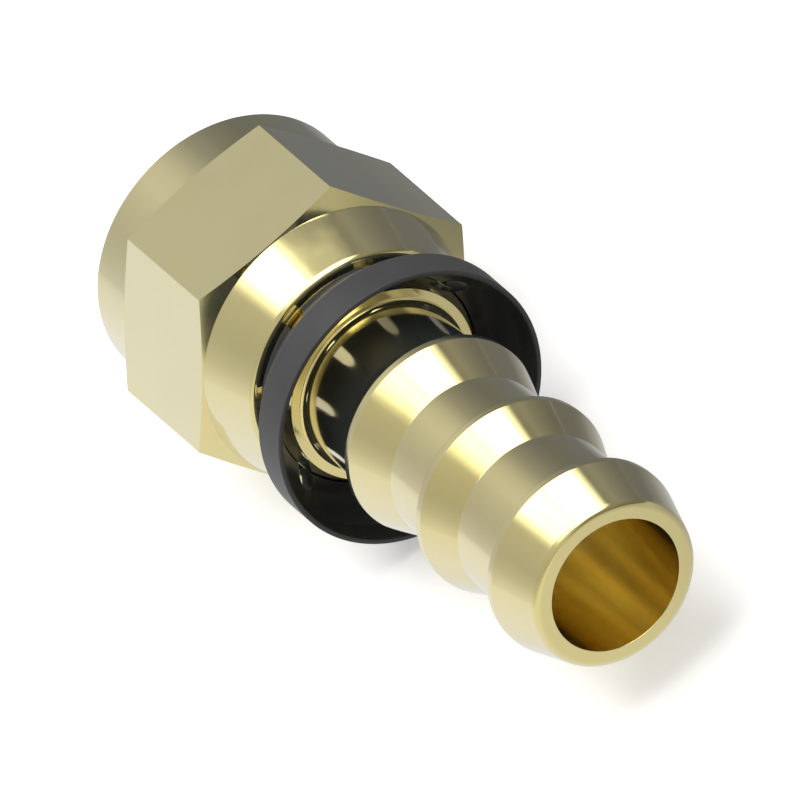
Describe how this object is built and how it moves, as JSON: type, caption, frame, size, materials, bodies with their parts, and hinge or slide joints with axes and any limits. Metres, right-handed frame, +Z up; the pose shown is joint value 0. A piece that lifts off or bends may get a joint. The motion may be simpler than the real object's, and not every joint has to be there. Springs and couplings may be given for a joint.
{
  "type": "socketless hose fitting",
  "caption": "Straight brass hose fitting with a barbed tail that the hose pushes onto, a hex swivel nut for a flared connection, and a slotted black guard ring.",
  "frame": {"origin": "on the fitting's axis, at the open end of the nipple's cone seat", "axes": "+X along the axis towards the tip of the hose tail, so the nut's mouth faces -X. +Z is up with the fitting lying on one flat of the nut's hex"},
  "size_m": [0.0568, 0.0256, 0.0222],
  "materials": {
    "nut_brass": "polished, machined",
    "nipple_brass": "polished, turned",
    "ring_plastic": "smooth moulded, semi-gloss black"
  },
  "bodies": {
    "nipple": {"hose_nipple": "nipple_brass"},
    "nut": {"swivel_nut": "nut_brass"},
    "ring": {"guard_ring": "ring_plastic"}
  },
  "joints": [
    {"name": "nut_swivel", "type": "hinge", "parent": "nipple", "child": "nut", "pos_m": [0, 0, 0], "axis": [1, 0, 0], "continuous": true},
    {"name": "ring_turn", "type": "hinge", "parent": "nipple", "child": "ring", "pos_m": [0.0114, 0, 0], "axis": [1, 0, 0], "continuous": true}
  ]
}
